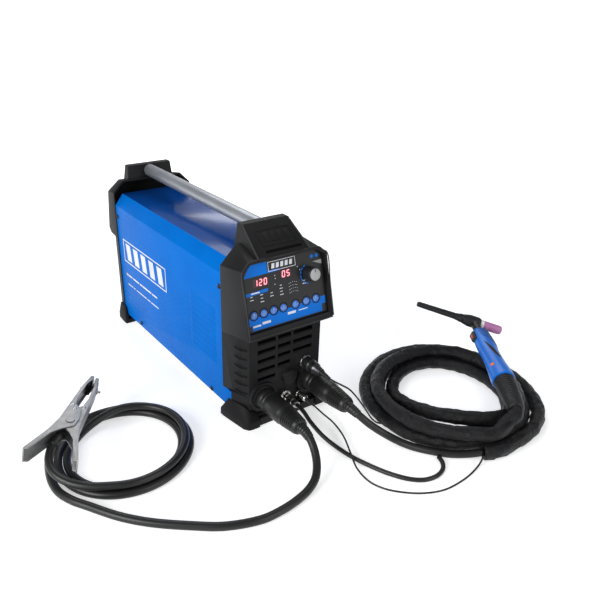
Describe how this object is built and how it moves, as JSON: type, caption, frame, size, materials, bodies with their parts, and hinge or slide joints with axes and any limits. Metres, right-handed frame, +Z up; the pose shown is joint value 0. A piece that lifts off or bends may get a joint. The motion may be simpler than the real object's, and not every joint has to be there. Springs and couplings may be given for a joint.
{
  "type": "tig welding machine",
  "caption": "Portable inverter TIG welding machine with carry tube and control panel, its earth lead and clamp, and its sleeved torch lead and torch.",
  "frame": {"origin": "bottom centre of the machine without its leads, on the surface it stands on", "axes": "+X to the right seen from the front, -Y out of the front panel, +Z up"},
  "size_m": [0.8965, 0.8657, 0.3365],
  "materials": {
    "bezel_black": "fine spark texture",
    "board_green": "circuit board",
    "button_blue": "clear blue dome",
    "button_red": "rocker",
    "capacitor_black": "sleeved can",
    "clamp_steel": "bright zinc pressing",
    "collar_white": "plain insulator",
    "cover_blue": "gloss powder coat",
    "cup_pink": "alumina nozzle",
    "display_red": "smoked red window",
    "fitting_brass": "machined",
    "fitting_steel": "nickel plated",
    "foot_black": "semi-rigid moulding",
    "knob_black": "satin",
    "lead_rubber": "smooth cable sheath",
    "overlay_film": "printed polyester film",
    "sink_aluminium": "extruded",
    "sleeve_fabric": "zipped nylon cover",
    "torch_black": "moulded phenolic and rubber",
    "torch_blue": "moulded grip",
    "tray_steel": "zinc plated sheet",
    "tube_aluminium": "brushed, satin",
    "winding_copper": "enamelled winding"
  },
  "bodies": {
    "machine": {"wrap_cover": "cover_blue", "base_tray": "tray_steel", "front_bezel": "bezel_black", "rear_bezel": "bezel_black", "handle_tube": "tube_aluminium", "foot_front_right": "foot_black", "foot_front_left": "foot_black", "foot_rear_right": "foot_black", "foot_rear_left": "foot_black", "control_overlay": "overlay_film", "display_current": "display_red", "display_function": "display_red", "control_board": "board_green", "earth_socket": "bezel_black", "torch_socket": "bezel_black", "gas_outlet": "fitting_brass", "remote_connector": "fitting_steel", "control_socket": "fitting_steel", "control_plug": "fitting_steel", "switch_frame": "bezel_black", "mains_gland": "bezel_black", "gas_inlet": "fitting_brass", "fan_frame": "bezel_black", "heat_sink": "sink_aluminium", "power_board": "board_green", "main_transformer": "winding_copper", "output_inductor": "winding_copper", "bulk_capacitor": "capacitor_black", "gas_valve": "fitting_brass", "earth_plug": "lead_rubber", "torch_plug": "lead_rubber", "earth_lead": "lead_rubber", "earth_coil": "lead_rubber", "power_lead": "lead_rubber", "torch_sleeve": "sleeve_fabric", "sleeve_coil": "sleeve_fabric", "gas_hose": "lead_rubber", "signal_cable": "lead_rubber", "control_cable": "lead_rubber", "clamp_lever_fixed": "clamp_steel", "clamp_pin": "clamp_steel", "clamp_spring": "clamp_steel", "torch_head": "torch_black", "torch_back_cap": "torch_black", "torch_collar": "collar_white", "torch_cup": "cup_pink", "torch_handle": "torch_blue", "torch_boot": "torch_black"},
    "push_button_1": {"push_button_1": "button_blue"},
    "push_button_2": {"push_button_2": "button_blue"},
    "push_button_3": {"push_button_3": "button_blue"},
    "push_button_4": {"push_button_4": "button_blue"},
    "push_button_5": {"push_button_5": "button_blue"},
    "push_button_6": {"push_button_6": "button_blue"},
    "push_button_7": {"push_button_7": "button_blue"},
    "encoder_knob": {"encoder_knob": "knob_black"},
    "power_switch": {"power_switch": "button_red"},
    "fan_rotor": {"fan_rotor": "bezel_black"},
    "clamp_lever_moving": {"clamp_lever_moving": "clamp_steel"},
    "torch_trigger": {"torch_trigger": "knob_black"}
  },
  "joints": [
    {"name": "push_button_1_press", "type": "slide", "parent": "machine", "child": "push_button_1", "axis": [0, 0.9715, -0.2371], "range_m": [0, 0.0012], "stiffness_N_per_m": 300, "springref_m": -0.0006},
    {"name": "push_button_2_press", "type": "slide", "parent": "machine", "child": "push_button_2", "axis": [0, 0.9715, -0.2371], "range_m": [0, 0.0012], "stiffness_N_per_m": 300, "springref_m": -0.0006},
    {"name": "push_button_3_press", "type": "slide", "parent": "machine", "child": "push_button_3", "axis": [0, 0.9715, -0.2371], "range_m": [0, 0.0012], "stiffness_N_per_m": 300, "springref_m": -0.0006},
    {"name": "push_button_4_press", "type": "slide", "parent": "machine", "child": "push_button_4", "axis": [0, 0.9715, -0.2371], "range_m": [0, 0.0012], "stiffness_N_per_m": 300, "springref_m": -0.0006},
    {"name": "push_button_5_press", "type": "slide", "parent": "machine", "child": "push_button_5", "axis": [0, 0.9715, -0.2371], "range_m": [0, 0.0012], "stiffness_N_per_m": 300, "springref_m": -0.0006},
    {"name": "push_button_6_press", "type": "slide", "parent": "machine", "child": "push_button_6", "axis": [0, 0.9715, -0.2371], "range_m": [0, 0.0012], "stiffness_N_per_m": 300, "springref_m": -0.0006},
    {"name": "push_button_7_press", "type": "slide", "parent": "machine", "child": "push_button_7", "axis": [0, 0.9715, -0.2371], "range_m": [0, 0.0012], "stiffness_N_per_m": 300, "springref_m": -0.0006},
    {"name": "encoder_knob_turn", "type": "hinge", "parent": "machine", "child": "encoder_knob", "pos_m": [0.048, -0.26769, 0.25756], "axis": [0, -0.9715, 0.2371], "continuous": true},
    {"name": "power_switch_rock", "type": "hinge", "parent": "machine", "child": "power_switch", "pos_m": [-0.044, 0.27, 0.246], "axis": [0, 0, 1], "range_deg": [0, 20]},
    {"name": "fan_spin", "type": "hinge", "parent": "machine", "child": "fan_rotor", "pos_m": [0, 0.233, 0.108], "axis": [0, 1, 0], "continuous": true},
    {"name": "clamp_open", "type": "hinge", "parent": "machine", "child": "clamp_lever_moving", "pos_m": [-0.3478, -0.16375, 0.0525], "axis": [-0.1633, 0.1296, -0.978], "range_deg": [0, 26], "stiffness_Nm_per_rad": 3, "springref_deg": -20.05},
    {"name": "torch_trigger_press", "type": "slide", "parent": "machine", "child": "torch_trigger", "axis": [0.82, -0.5092, -0.2614], "range_m": [0, 0.0015], "stiffness_N_per_m": 600, "springref_m": -0.001}
  ]
}
